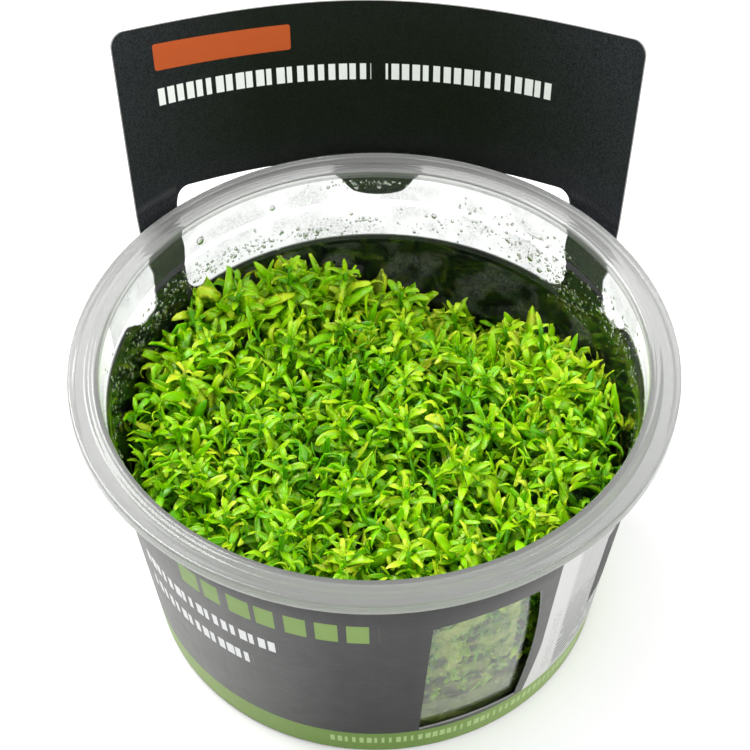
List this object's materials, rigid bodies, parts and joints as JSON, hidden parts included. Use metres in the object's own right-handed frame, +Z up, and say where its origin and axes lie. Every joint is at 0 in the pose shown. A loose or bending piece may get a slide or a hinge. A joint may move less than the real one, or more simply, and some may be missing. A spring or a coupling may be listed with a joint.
{
  "type": "pearlweed in a round tub",
  "caption": "Aquarium plant with small bright green leaves growing in a clear round tub, wrapped in a dark printed card with a header standing up behind.",
  "frame": {"origin": "centre of the tub's flat underside", "axes": "+Z up the tub's axis, +Y towards the header card at the back, +X to the right seen from the front"},
  "size_m": [0.1012, 0.1043, 0.095],
  "materials": {
    "clear_plastic": "gloss",
    "printed_card": "satin",
    "clear_jelly": "gloss",
    "leafy_mat": "satin",
    "young_leaf": "satin"
  },
  "bodies": {
    "root": {"tub": "clear_plastic", "label_card": "printed_card", "growing_medium": "clear_jelly", "plant_mat": "leafy_mat", "sprig_01": "young_leaf", "sprig_02": "young_leaf", "sprig_03": "young_leaf", "sprig_04": "young_leaf", "sprig_05": "young_leaf", "sprig_06": "young_leaf", "sprig_07": "young_leaf", "sprig_08": "young_leaf", "sprig_09": "young_leaf", "sprig_10": "young_leaf", "sprig_11": "young_leaf", "sprig_12": "young_leaf", "sprig_13": "young_leaf", "sprig_14": "young_leaf", "sprig_15": "young_leaf", "sprig_16": "young_leaf", "sprig_17": "young_leaf", "sprig_18": "young_leaf", "sprig_19": "young_leaf", "sprig_20": "young_leaf", "sprig_21": "young_leaf", "sprig_22": "young_leaf", "sprig_23": "young_leaf", "sprig_24": "young_leaf", "sprig_25": "young_leaf", "sprig_26": "young_leaf", "sprig_27": "young_leaf", "sprig_28": "young_leaf", "sprig_29": "young_leaf", "sprig_30": "young_leaf", "sprig_31": "young_leaf", "sprig_32": "young_leaf", "sprig_33": "young_leaf", "sprig_34": "young_leaf", "sprig_35": "young_leaf", "sprig_36": "young_leaf"}
  },
  "joints": []
}
